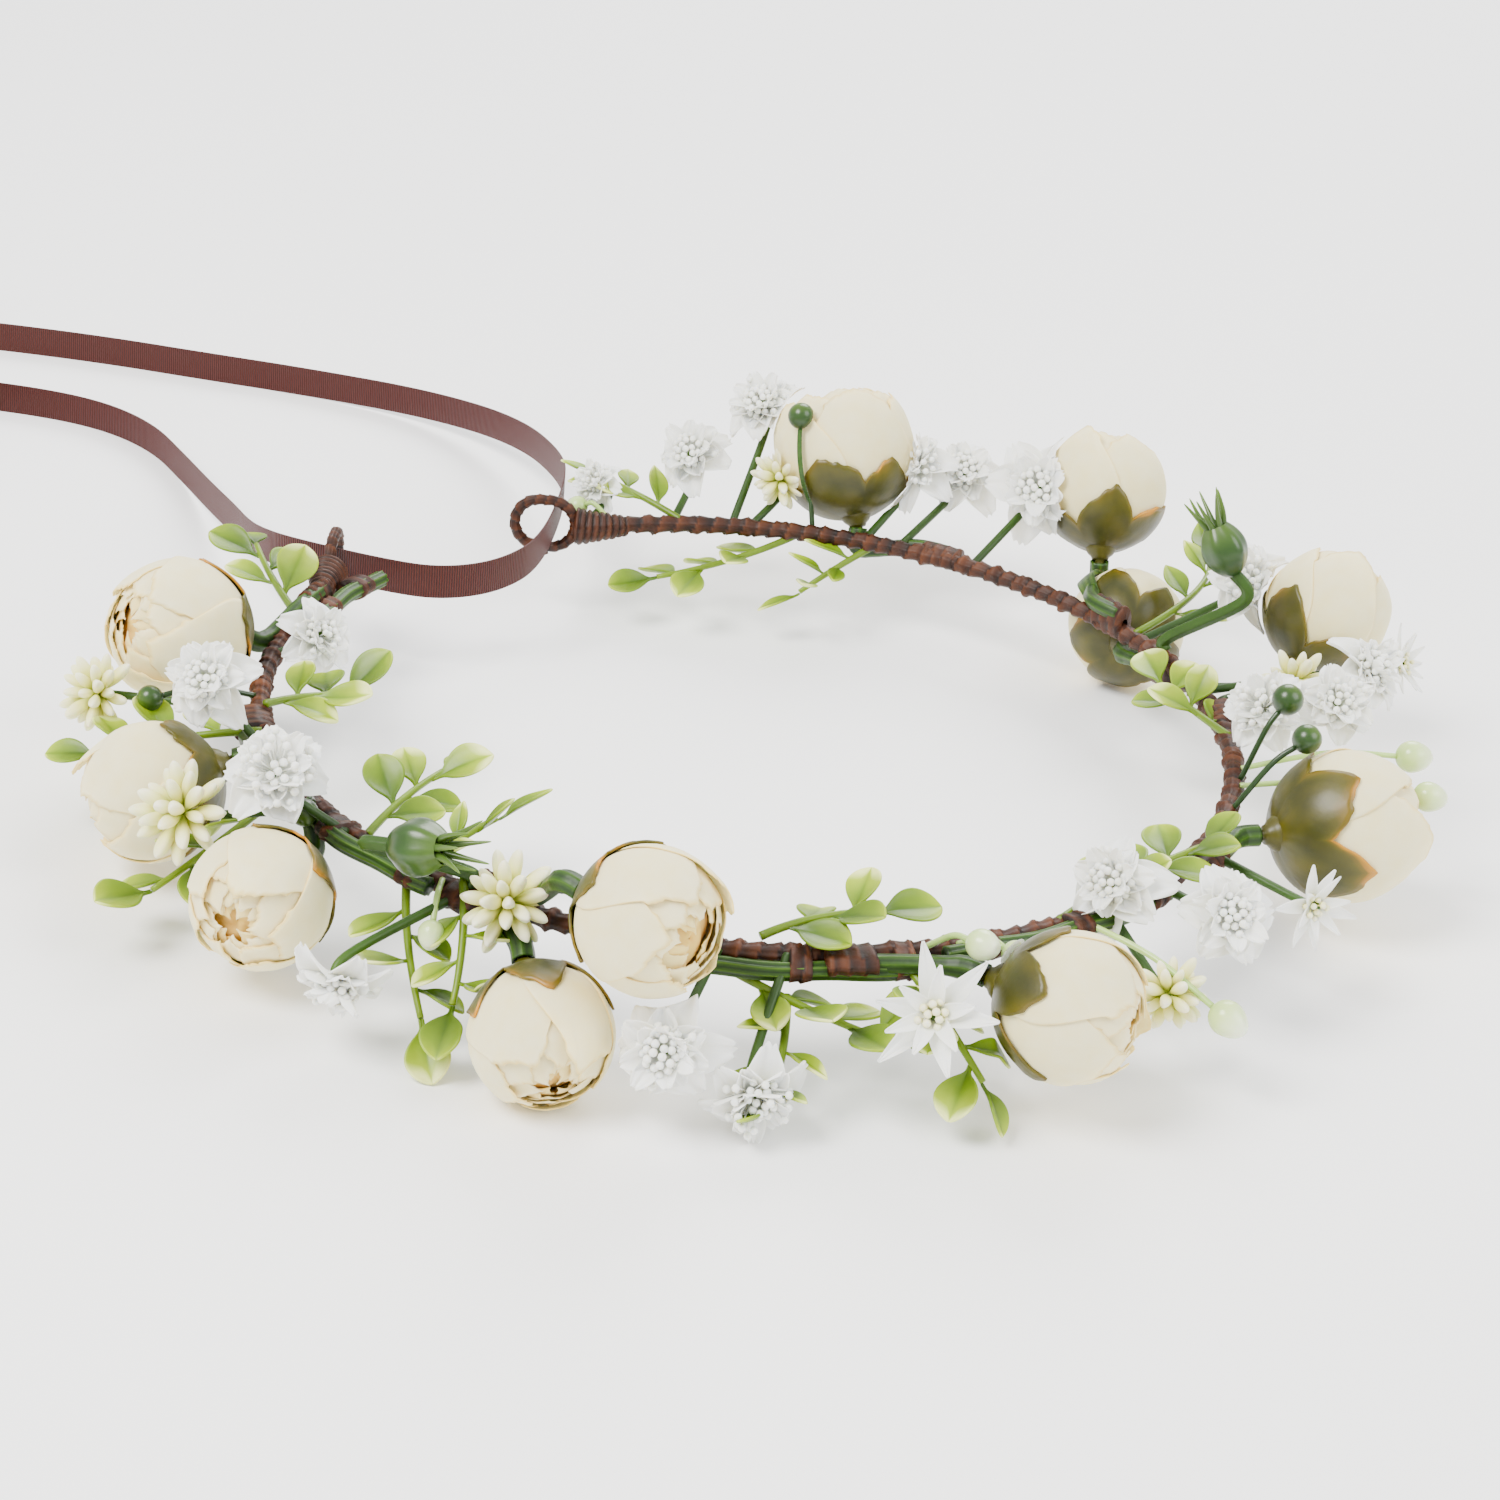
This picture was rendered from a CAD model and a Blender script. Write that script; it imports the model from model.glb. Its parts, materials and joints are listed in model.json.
import json
import math
import random

import bpy
from mathutils import Matrix, Vector, noise


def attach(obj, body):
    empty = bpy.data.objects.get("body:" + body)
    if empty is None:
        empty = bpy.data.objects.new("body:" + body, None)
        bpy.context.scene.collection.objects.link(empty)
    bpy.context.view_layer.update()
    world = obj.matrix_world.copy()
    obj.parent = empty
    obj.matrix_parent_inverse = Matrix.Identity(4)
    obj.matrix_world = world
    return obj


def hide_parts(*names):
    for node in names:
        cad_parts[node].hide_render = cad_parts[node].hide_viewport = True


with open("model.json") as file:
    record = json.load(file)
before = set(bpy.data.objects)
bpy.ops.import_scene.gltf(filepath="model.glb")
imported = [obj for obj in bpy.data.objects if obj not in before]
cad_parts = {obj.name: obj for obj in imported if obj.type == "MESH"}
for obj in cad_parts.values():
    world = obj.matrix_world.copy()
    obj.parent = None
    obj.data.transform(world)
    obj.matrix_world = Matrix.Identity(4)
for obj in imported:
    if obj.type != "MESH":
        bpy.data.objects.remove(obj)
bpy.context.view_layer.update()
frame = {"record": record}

# Shapes are made in millimetres and turned into metres where a mesh is made. Cord routes
# and the camera are in metres.
MM = 0.001
CROWN = "crown"

# ---- Hoop and loops, as in the CAD model ----
HOOP_RADIUS = 90.0
HOOP_HEIGHT = 20.0
TAPE_RADIUS = 1.75
RIGHT_END_ANGLE = 113.0
LEFT_END_ANGLE = 165.0
RIGHT_LOOP_END = Vector((-39.9, 81.9, HOOP_HEIGHT))
LEFT_LOOP_END = Vector((-85.9, 46.1, HOOP_HEIGHT))
LOOP_BEND_RADIUS = 5.2
LOOP_HALF_LENGTH = 6.3
LOOP_TAPE_RADIUS = 1.15
UP = Vector((0, 0, 1))

# Ball radius of each bud, how far its mouth is open, and its stem's foot on the hoop.
BUDS = [
    (13.5, 0.15, 166, (0, 3.3)),
    (12.5, 0.1, 199, (3.3, 0)),
    (12.0, 0.1, 219, (3.3, 0)),
    (11.8, 0.1, 246, (3.3, 0)),
    (12.2, 0.3, 249, (0, 3.3)),
    (12.5, 0.2, 286, (3.3, 0)),
    (14.0, 0.2, 335, (3.3, 0)),
    (12.5, 0.25, 14, (3.3, 0)),
    (12.2, 0.1, 30, (0, -3.3)),
    (13.0, 0.3, 42, (0, 3.3)),
    (15.0, 0.9, 70, (3.3, 0)),
]
BUD_CLEARANCE = 1.3
LOWEST_POINT = 0.3
LOOSE_PETAL = 1
PETAL_CLOTH = 0.22
SEPAL_CLOTH = 0.4
LEAF_THICKNESS = 0.5
PEG_RADIUS = 0.98
SOCKET_START = 2.3
SOCKET_LENGTH = 4.5
STEM_RADIUS = 1.6
VINE_RADIUS = 1.55
TIE_SPAN = 5.5

# How far one turn of tape lies from the next.
HOOP_PITCH = 3.4
LOOP_PITCH = 2.1
NECK_PITCH = 1.35
TIE_PITCH = 2.3
NECK_LENGTH = 11.5

# Places are (x, y, height above the hoop's plane), then a facing direction and a size.
WHITE_BLOSSOMS = [
    ((-82, 6, 4), (0.7, -0.5, 0.6), 7.5),
    ((-94, -38, 14), (-0.2, -0.7, 0.7), 8.0),
    ((-77, -67, 12), (0.1, -0.6, 0.8), 9.0),
    ((-61, -99, -6), (-0.2, -0.6, -0.7), 8.0),
    ((-8, -113, -5), (-0.2, -0.9, 0.2), 8.5),
    ((6, -112, -12), (0.2, -0.8, -0.3), 8.0),
    ((63, -67, 6), (-0.5, -0.6, 0.6), 8.5),
    ((82, -70, 4), (0.2, -0.8, 0.5), 8.5),
    ((95, 2, 9), (-0.3, -0.7, 0.7), 8.0),
    ((108, 5, 10), (0.2, -0.7, 0.7), 8.0),
    ((115, 17, 12), (0.6, -0.3, 0.7), 8.0),
    ((97, 55, 12), (-0.2, -0.8, 0.6), 8.5),
    ((56, 91, 14), (-0.2, -0.85, 0.5), 10.0),
    ((41, 106, 10), (-0.1, -0.6, 0.8), 8.5),
    ((30, 102, 12), (-0.3, -0.5, 0.8), 8.0),
    ((-3, 109, 20), (-0.4, -0.4, 0.8), 8.5),
    ((-17, 102, 10), (-0.4, -0.6, 0.7), 8.5),
    ((-36, 93, 5), (-0.6, -0.4, 0.6), 6.0),
]
STAR_BLOSSOMS = [
    ((33, -106, 1), (-0.1, -0.8, 0.5), 10.5),
    ((98, -56, 0), (0.5, -0.8, 0.2), 8.0),
    ((124, 31, 8), (0.8, -0.4, 0.4), 7.0),
]
CREAM_CLUSTERS = [
    ((-117, -20, 1), (-0.8, -0.5, 0.2), 6.5),
    ((-93, -64, 2), (-0.5, -0.7, 0.5), 7.5),
    ((-36, -88, 4), (-0.1, -0.6, 0.8), 7.5),
    ((72, -84, -4), (0.3, -0.8, 0.1), 6.0),
    ((104, 28, 3), (0.5, -0.6, 0.4), 6.5),
    ((2, 96, 9), (-0.3, -0.5, 0.8), 6.0),
]
SEED_PODS = [
    ((-56, -82, 9), (0.8, -0.5, 0.3), 13.0),
    ((91, 36, 21), (-0.5, 0.2, 0.9), 12.0),
]
GREEN_BERRIES = [
    ((97, -8, 16), 2.9),
    ((99, -22, 15), 2.7),
    ((5, 95, 24), 2.8),
    ((-73, -62, 3), 2.4),
    ((-107, -24, 3), 2.4),
]
PALE_DROPS = [
    ((122, -4, 5), 3.0),
    ((124, -14, 2), 2.8),
    ((40, -93, 7), 2.6),
    ((46, -90, 4), 2.4),
    ((81, -90, -4), 3.0),
    ((-40, 88, 2), 2.2),
    ((-48, -88, -3), 2.2),
]

# Start, middle and end of the stalk, number of leaves, their length, and their kind unless spoon.
LEAF_SPRIGS = {
    "left": [
        ((-88, 20, 2), (-95, 28, 6), (-99, 38, 8), 5, 10.0),
        ((-87, -20, 2), (-82, -15, 2), (-75, -9, 0), 5, 9.5),
        ((-86, -29, 1), (-99, -30, 0), (-114, -32, -5), 6, 9.5),
        ((-78, -45, -1), (-88, -60, -6), (-97, -70, -10), 6, 9.5),
    ],
    "front_left": [
        ((-62, -64, 1), (-58, -55, 4), (-52, -44, 4), 6, 9.5),
        ((-54, -73, -1), (-53, -86, -5), (-48, -98, -13), 5, 9.0),
        ((-44, -80, 3), (-42, -90, -3), (-43, -98, -10), 5, 8.5),
        ((-52, -77, 2), (-47, -73, 6), (-40, -69, 9), 4, 8.5, "pointed"),
    ],
    "front": [
        ((-1, -91, -2), (12, -98, -5), (28, -101, -8), 7, 10.0),
        ((5, -88, 2), (13, -84, 5), (23, -80, 4), 5, 9.5),
        ((10, -94, -5), (11, -104, -11), (8, -112, -15), 5, 9.0, "pointed"),
        ((28, -87, 0), (35, -97, -4), (42, -105, -11), 6, 9.5),
    ],
    "right": [
        ((54, -72, 1), (65, -58, 3), (80, -44, 3), 8, 9.5),
        ((90, 6, 1), (83, 14, 2), (79, 29, 0), 6, 9.5),
    ],
    "back_right": [
        ((75, 50, 1), (93, 62, 8), (92, 84, 6), 6, 9.5, "pointed"),
    ],
    "back": [
        ((22, 87, -1), (15, 82, -4), (8, 79, -9), 5, 9.0, "pointed"),
        ((6, 90, -1), (-6, 84, -6), (-22, 80, -9), 6, 9.0),
        ((-18, 88, 1), (-28, 94, 4), (-37, 99, 5), 5, 9.0, "pointed"),
    ],
}

# Spare stems along the hoop: first and last angle, then how far out and up from it.
VINES = [(262, 290, 3.2, -1.2), (292, 322, 3.3, 0.8), (205, 238, 3.3, 0.6), (150, 172, -3.2, 1.0)]

# ---- Ribbon routes, in metres, as in the CAD model ----
RIBBON_WIDTH = 0.007
RIBBON_THICKNESS = 0.0003
ON_TABLE = 0.00355
RIGHT_CROSSING = (-0.0445, 0.082, 0.020)
LEFT_CROSSING = (-0.086, 0.0508, 0.020)
BETWEEN_LOOPS = [
    RIGHT_CROSSING,
    (-0.0455, 0.066, 0.020),
    (-0.0525, 0.0535, 0.0194),
    (-0.063, 0.0475, 0.0192),
    (-0.074, 0.0468, 0.020),
    LEFT_CROSSING,
]
RIGHT_TAIL = [
    RIGHT_CROSSING,
    (-0.0435, 0.098, 0.020),
    (-0.046, 0.124, 0.016),
    (-0.059, 0.160, 0.010),
    (-0.083, 0.186, 0.005),
    (-0.115, 0.1975, ON_TABLE),
    (-0.141, 0.202, ON_TABLE),
    (-0.167, 0.207, ON_TABLE),
    (-0.198, 0.210, ON_TABLE),
]
LEFT_TAIL = [
    LEFT_CROSSING,
    (-0.095, 0.0538, 0.020),
    (-0.102, 0.062, 0.018),
    (-0.107, 0.074, 0.0145),
    (-0.113, 0.092, 0.010),
    (-0.122, 0.113, 0.006),
    (-0.132, 0.134, ON_TABLE),
    (-0.143, 0.152, ON_TABLE),
    (-0.159, 0.164, ON_TABLE),
    (-0.182, 0.169, ON_TABLE),
]
RIGHT_COIL_CENTRE = (-0.228, 0.2345)
LEFT_COIL_CENTRE = (-0.206, 0.1445)
COIL_RADIUS = 0.0245
COIL_PITCH = 0.0042
COIL_POINTS_PER_TURN = 16
RIGHT_COIL_TURNS = 1.6
LEFT_COIL_TURNS = 2.2


# ---- Materials ----
def new_material(name):
    """A node material with its shader, and the node tree to add to."""
    material = bpy.data.materials.new(name)
    material.use_nodes = True
    tree = material.node_tree
    return material, tree, tree.nodes["Principled BSDF"]


def add_node(tree, kind, **inputs):
    node = tree.nodes.new(kind)
    for key, value in inputs.items():
        node.inputs[key.replace("_", " ")].default_value = value
    return node


def coordinates(tree, kind):
    """The piece's own coordinates, in metres, or its unwrapped ones."""
    return tree.nodes.new("ShaderNodeTexCoord").outputs[kind]


def noise_at(tree, scale, detail=4.0):
    node = add_node(tree, "ShaderNodeTexNoise", Scale=scale, Detail=detail)
    tree.links.new(coordinates(tree, "Object"), node.inputs["Vector"])
    return node.outputs["Fac"]


def ramp(tree, factor, stops):
    """Colours along a factor from 0 to 1."""
    node = tree.nodes.new("ShaderNodeValToRGB")
    elements = node.color_ramp.elements
    while len(elements) < len(stops):
        elements.new(0.5)
    for element, (position, colour) in zip(elements, stops):
        element.position = position
        element.color = (*colour, 1)
    tree.links.new(factor, node.inputs["Fac"])
    return node.outputs["Color"]


def tint_of(tree):
    """The share from base to edge that each mesh stores at its points."""
    node = tree.nodes.new("ShaderNodeAttribute")
    node.attribute_name = "tint"
    return node.outputs["Fac"]


def mottled(tree, colour, amount, scale):
    """The colour with soft lighter and darker patches."""
    mix = tree.nodes.new("ShaderNodeMix")
    mix.data_type = "RGBA"
    mix.blend_type = "OVERLAY"
    mix.inputs["Factor"].default_value = amount
    tree.links.new(colour, mix.inputs["A"])
    tree.links.new(noise_at(tree, scale), mix.inputs["B"])
    return mix.outputs["Result"]


def bump(tree, shader, height, strength, distance):
    node = add_node(tree, "ShaderNodeBump", Strength=strength, Distance=distance)
    tree.links.new(height, node.inputs["Height"])
    tree.links.new(node.outputs["Normal"], shader.inputs["Normal"])


def add_heights(tree, one, other, share):
    """The first height times its share, plus the other."""
    node = tree.nodes.new("ShaderNodeMath")
    node.operation = "MULTIPLY_ADD"
    node.inputs[1].default_value = share
    tree.links.new(one, node.inputs[0])
    tree.links.new(other, node.inputs[2])
    return node.outputs["Value"]


def waves(tree, scale, direction, distortion=0.0):
    node = add_node(tree, "ShaderNodeTexWave", Scale=scale, Distortion=distortion)
    node.bands_direction = direction
    tree.links.new(coordinates(tree, "UV"), node.inputs["Vector"])
    return node.outputs["Fac"]


def finish(shader, roughness, sheen=0.0, subsurface=0.0, coat=0.0, glow=(1, 0.9, 0.7)):
    shader.inputs["Roughness"].default_value = roughness
    shader.inputs["Sheen Weight"].default_value = sheen
    shader.inputs["Sheen Roughness"].default_value = 0.5
    shader.inputs["Subsurface Weight"].default_value = subsurface
    shader.inputs["Subsurface Radius"].default_value = glow
    shader.inputs["Subsurface Scale"].default_value = 0.002
    shader.inputs["Coat Weight"].default_value = coat
    shader.inputs["Coat Roughness"].default_value = 0.25


def cloth_material(name, stops):
    """Woven petal cloth whose colour runs from base to edge."""
    material, tree, shader = new_material(name)
    colour = ramp(tree, tint_of(tree), stops)
    tree.links.new(mottled(tree, colour, 0.25, 350), shader.inputs["Base Color"])
    weave = add_heights(tree, waves(tree, 1.6, "X"), waves(tree, 1.6, "Y"), 0.7)
    bump(tree, shader, add_heights(tree, weave, noise_at(tree, 700), 0.35), 0.22, 0.00012)
    finish(shader, 0.75, sheen=0.12, subsurface=0.4, glow=(1, 0.8, 0.5))
    return material


def plastic_material(name, stops, roughness, coat=0.0, subsurface=0.15, grain=0.2):
    """Moulded plastic with colour along its length, faint veins and mould grain."""
    material, tree, shader = new_material(name)
    colour = ramp(tree, tint_of(tree), stops)
    tree.links.new(mottled(tree, colour, 0.4, 160), shader.inputs["Base Color"])
    bump(tree, shader, noise_at(tree, 900, 6), grain, 0.0002)
    finish(shader, roughness, coat=coat, subsurface=subsurface, glow=(0.7, 1, 0.3))
    shader.inputs["Specular IOR Level"].default_value = 0.3
    return material


def tape_material():
    """Waxed crepe tape: brown with darker overlaps and fine stretch wrinkles."""
    material, tree, shader = new_material("brown_tape")
    stops = [
        (0.0, (0.005, 0.001, 0.0003)),
        (0.45, (0.036, 0.008, 0.001)),
        (1.0, (0.090, 0.024, 0.005)),
    ]
    colour = ramp(tree, tint_of(tree), stops)
    tree.links.new(mottled(tree, colour, 0.55, 420), shader.inputs["Base Color"])
    folds = waves(tree, 2.2, "X", distortion=3.0)
    wrinkles = add_heights(tree, noise_at(tree, 1500, 6), folds, 0.6)
    bump(tree, shader, wrinkles, 0.45, 0.0003)
    finish(shader, 0.55)
    shader.inputs["Specular IOR Level"].default_value = 0.3
    return material


def ribbon_material():
    """Grosgrain: fine ribs across the ribbon, reddish brown with a purplish sheen."""
    material, tree, shader = new_material("brown_ribbon")
    stops = [
        (0.0, (0.018, 0.002, 0.001)),
        (0.5, (0.055, 0.007, 0.003)),
        (1.0, (0.090, 0.014, 0.006)),
    ]
    ribs = waves(tree, 0.62, "X")
    tree.links.new(ramp(tree, ribs, stops), shader.inputs["Base Color"])
    bump(tree, shader, add_heights(tree, noise_at(tree, 1800), ribs, 0.25), 0.8, 0.00035)
    finish(shader, 0.5, sheen=0.06)
    shader.inputs["Sheen Tint"].default_value = (0.7, 0.3, 0.4, 1)
    shader.inputs["Specular IOR Level"].default_value = 0.3
    return material


def steel_material():
    material, tree, shader = new_material("hoop_steel")
    stops = [(0.3, (0.30, 0.30, 0.31)), (0.7, (0.52, 0.52, 0.53))]
    tree.links.new(ramp(tree, noise_at(tree, 900), stops), shader.inputs["Base Color"])
    shader.inputs["Metallic"].default_value = 1.0
    shader.inputs["Roughness"].default_value = 0.38
    return material


def floor_material():
    material, tree, shader = new_material("pale_floor")
    stops = [(0.2, (0.93, 0.93, 0.93)), (0.8, (0.96, 0.96, 0.96))]
    tree.links.new(ramp(tree, noise_at(tree, 3), stops), shader.inputs["Base Color"])
    shader.inputs["Roughness"].default_value = 0.7
    return material


IVORY = cloth_material("ivory_petals", [
    (0.0, (0.90, 0.50, 0.08)),
    (0.3, (0.93, 0.66, 0.19)),
    (0.6, (0.96, 0.78, 0.35)),
    (0.9, (0.97, 0.83, 0.44)),
    (1.0, (0.90, 0.64, 0.22)),
])
WHITE = cloth_material("white_blossom", [
    (0.0, (0.45, 0.58, 0.18)),
    (0.25, (0.78, 0.79, 0.68)),
    (1.0, (0.90, 0.90, 0.85)),
])
CALYX = plastic_material("calyx_green", [
    (0.0, (0.022, 0.025, 0.002)),
    (0.55, (0.070, 0.060, 0.003)),
    (0.82, (0.13, 0.085, 0.004)),
    (1.0, (0.45, 0.19, 0.006)),
], 0.4, coat=0.12)
LEAF = plastic_material("leaf_plastic", [
    (0.0, (0.045, 0.090, 0.001)),
    (0.45, (0.13, 0.21, 0.001)),
    (0.8, (0.29, 0.38, 0.006)),
    (1.0, (0.72, 0.78, 0.28)),
], 0.42, coat=0.1, subsurface=0.25)
STEM = plastic_material("stem_green", [
    (0.0, (0.008, 0.025, 0.003)),
    (0.6, (0.026, 0.070, 0.004)),
    (1.0, (0.10, 0.19, 0.008)),
], 0.45, grain=0.45)
CREAM = plastic_material("cream_cluster", [
    (0.0, (0.36, 0.46, 0.03)),
    (0.45, (0.74, 0.72, 0.22)),
    (1.0, (0.92, 0.90, 0.70)),
], 0.45, subsurface=0.35)
POD = plastic_material("pod_green", [
    (0.0, (0.006, 0.022, 0.003)),
    (0.6, (0.020, 0.055, 0.007)),
    (1.0, (0.085, 0.15, 0.014)),
], 0.3, coat=0.25, grain=0.08)
DROP = plastic_material("pale_drops", [
    (0.0, (0.25, 0.42, 0.06)),
    (0.5, (0.55, 0.70, 0.27)),
    (1.0, (0.86, 0.90, 0.70)),
], 0.22, coat=0.5, subsurface=0.3, grain=0.06)
TAPE = tape_material()
RIBBON = ribbon_material()
STEEL = steel_material()


# ---- Mesh building ----
class Shape:
    """Points, faces, tints and unwrapped coordinates of one piece, in millimetres."""

    def __init__(self):
        self.points = []
        self.faces = []
        self.tints = []
        self.flat = []

    def grid(self, rows, columns, point, tint, closed=False):
        """A sheet of rows by columns from point(u, v), where u goes across and v along."""
        first = len(self.points)
        across = columns if closed else columns + 1
        for i in range(rows + 1):
            for j in range(across):
                u, v = j / columns, i / rows
                spot = Vector(point(u, v))
                self.points.append(spot)
                self.tints.append(min(1.0, max(0.0, tint(u, v))))
                self.flat.append((u, v))
        for i in range(rows):
            for j in range(columns):
                k = (j + 1) % across
                a = first + i * across
                b = a + across
                self.faces.append((a + j, a + k, b + k, b + j))

    def tube(self, line, radius, sides=12, tint=lambda u, v: 0.5, caps=True):
        """A tube along points; radius(u, v) is read round and along it."""
        frames = carried_frames(line)
        first = len(self.points)
        steps = len(line) - 1

        def skin(u, v):
            spot, side, over = frames[round(v * steps)]
            turn = 2 * math.pi * u
            reach = radius(u, v)
            return spot + (side * math.cos(turn) + over * math.sin(turn)) * reach

        self.grid(steps, sides, skin, tint, closed=True)
        if caps:
            self.faces.append(tuple(first + k for k in reversed(range(sides))))
            last = first + steps * sides
            self.faces.append(tuple(last + k for k in range(sides)))

    def turned(self, profile, sides, tint=lambda u, v: v, wobble=lambda turn, v: 1.0):
        """A surface turned about local Z through (radius, height) points."""
        steps = len(profile) - 1

        def skin(u, v):
            reach, height = profile[round(v * steps)]
            turn = 2 * math.pi * u
            reach *= wobble(turn, v)
            return Vector((reach * math.cos(turn), reach * math.sin(turn), height))

        self.grid(steps, sides, skin, tint, closed=True)

    def add(self, other, place):
        """Takes in another shape, moved by a matrix."""
        first = len(self.points)
        self.points += [place @ point for point in other.points]
        self.faces += [tuple(first + k for k in face) for face in other.faces]
        self.tints += other.tints
        self.flat += other.flat


def carried_frames(line):
    """Each point with two directions across the line that don't twist along it."""
    frames = []
    side = None
    for i, spot in enumerate(line):
        ahead = line[min(i + 1, len(line) - 1)] - line[max(i - 1, 0)]
        ahead.normalize()
        if side is None:
            side = ahead.cross(UP if abs(ahead.z) < 0.9 else Vector((1, 0, 0)))
        side = side - ahead * side.dot(ahead)
        side.normalize()
        frames.append((spot, side.copy(), ahead.cross(side)))
    return frames


def rough(point, scale, amount):
    """Smooth random offset at a place, the same on every run."""
    return noise.noise(point * scale) * amount


def aimed(origin, direction, roll=0.0):
    """The matrix whose local Z is the direction, in millimetres."""
    turn = Vector(direction).normalized().to_track_quat("Z", "Y").to_matrix().to_4x4()
    return Matrix.Translation(origin) @ turn @ Matrix.Rotation(roll, 4, "Z")


def build(name, shape, material, body, nodes, thickness=0.0, smooth=0, place=None):
    """Makes the piece's object, hides the CAD nodes that it stands for and lets it ride."""
    place = place or Matrix.Identity(4)
    mesh = bpy.data.meshes.new(name)
    mesh.from_pydata([tuple((place @ point) * MM) for point in shape.points], [], shape.faces)
    layer = mesh.attributes.new("tint", "FLOAT", "POINT")
    layer.data.foreach_set("value", shape.tints)
    unwrapped = mesh.uv_layers.new(name="UVMap")
    for loop in mesh.loops:
        unwrapped.data[loop.index].uv = shape.flat[loop.vertex_index]
    mesh.polygons.foreach_set("use_smooth", [True] * len(mesh.polygons))
    mesh.materials.append(material)
    mesh.update()
    piece = bpy.data.objects.new(name, mesh)
    bpy.context.scene.collection.objects.link(piece)
    if thickness:
        solid = piece.modifiers.new("thickness", "SOLIDIFY")
        solid.thickness = thickness * MM
        solid.offset = 0
    if smooth:
        piece.modifiers.new("smooth", "SUBSURF").levels = smooth
        piece.modifiers["smooth"].render_levels = smooth
    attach(piece, body)
    if nodes:
        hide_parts(*nodes)
    return piece


# ---- Bud heads' places, from the joints that they turn on ----
joints = {joint["name"]: joint for joint in frame["record"]["behaviour"]["joints"]}
BUD_SPOTS = []
for number, (radius, *rest) in enumerate(BUDS, 1):
    joint = joints[f"bud_{number:02d}_swivel"]
    centre = Vector(joint["pos_m"]) / MM
    BUD_SPOTS.append((centre, Vector(joint["axis"]).normalized(), radius))


def clear_of_buds(shape, own=None):
    """Pushes a fixed piece's points out of the room where other bud heads than its own turn."""
    for point in shape.points:
        for number, (centre, axis, radius) in enumerate(BUD_SPOTS, 1):
            away = point - centre
            reach = radius + BUD_CLEARANCE
            if number != own and away.length < reach:
                point += away.normalized() * (reach - away.length)
        point.z = max(point.z, LOWEST_POINT)


def build_fixed(name, shape, material, nodes, thickness=0.0, smooth=0):
    """A piece that the crown carries, clear of every bud head."""
    clear_of_buds(shape)
    build(name, shape, material, CROWN, nodes, thickness, smooth)


def place_of(point):
    x, y, height = point
    return Vector((x, y, HOOP_HEIGHT + height))


def on_hoop(angle, out=0.0, up=0.0):
    turn = math.radians(angle)
    reach = HOOP_RADIUS + out
    return Vector((reach * math.cos(turn), reach * math.sin(turn), HOOP_HEIGHT + up))


def hoop_angle(point):
    return math.degrees(math.atan2(point.y, point.x))


def smooth_line(knots, steps=6):
    """A rounded line through points."""
    line = []
    for i in range(len(knots) - 1):
        before = knots[max(i - 1, 0)]
        a, b = knots[i], knots[i + 1]
        after = knots[min(i + 2, len(knots) - 1)]
        for k in range(steps):
            t = k / steps
            line.append(
                a * (2 * t**3 - 3 * t**2 + 1)
                + (b - before) * 0.5 * (t**3 - 2 * t**2 + t)
                + b * (3 * t**2 - 2 * t**3)
                + (after - a) * 0.5 * (t**3 - t**2)
            )
    return line + [knots[-1].copy()]


# ---- Hoop: tape wound in ridges over the wire ----
def even_line(line, step):
    """The line's points again, evenly spaced."""
    lengths = [0.0]
    for a, b in zip(line, line[1:]):
        lengths.append(lengths[-1] + (b - a).length)
    count = max(2, round(lengths[-1] / step))
    result = []
    k = 0
    for i in range(count + 1):
        want = lengths[-1] * i / count
        while k < len(line) - 2 and lengths[k + 1] < want:
            k += 1
        share = (want - lengths[k]) / max(1e-9, lengths[k + 1] - lengths[k])
        result.append(line[k].lerp(line[k + 1], share))
    return result


def hoop_line():
    line = [RIGHT_LOOP_END + Vector((1.0, 0, 0)), RIGHT_LOOP_END + Vector((3.0, 0.25, 0))]
    angle = RIGHT_END_ANGLE - 2
    while angle > LEFT_END_ANGLE - 360:
        line.append(on_hoop(angle))
        angle -= 2
    line.append(on_hoop(LEFT_END_ANGLE))
    line.append(Vector((-85.95, 31, HOOP_HEIGHT)))
    line.append(LEFT_LOOP_END - Vector((0, 1.0, 0)))
    return line


def wind_share(along, u, pitch, seed):
    """From 0 at the edge that laps over to 1 at the next turn's edge."""
    return (along / pitch + u + rough(Vector((along * 0.05, seed, 0)), 1.0, 0.6)) % 1.0


def knot_at(along, u, seed):
    """From 0 to 1 where an extra slanting turn of tape crosses, about every 9 mm."""
    phase = along / 9.0 + 0.12 * u + rough(Vector((along * 0.03, seed, 5.0)), 1.0, 0.8)
    return max(0.0, math.cos(2 * math.pi * phase)) ** 9


def wound(radius, pitch, length, depth, uneven=0.12, seed=0.0, knots=0.0):
    """Radius of wound tape: each turn laps over the last one, with a knot here and there."""

    def reach(u, v):
        along = v * length
        lap = depth * (1 - wind_share(along, u, pitch, seed)) ** 1.5
        lump = rough(Vector((along * 0.35, u * 3.0, seed)), 1.0, uneven)
        return radius - depth * 0.5 + lap + lump + knots * knot_at(along, u, seed)

    return reach


def wound_tint(pitch, length, seed=0.0):
    def tint(u, v):
        along = v * length
        turn = wind_share(along, u, pitch, seed)
        patch = rough(Vector((along * 0.2, u * 2, seed)), 1.0, 0.4)
        return 0.05 + 0.75 * (1 - turn) + 0.15 * knot_at(along, u, seed) + patch

    return tint


def line_length(line):
    return sum((b - a).length for a, b in zip(line, line[1:]))


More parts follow.
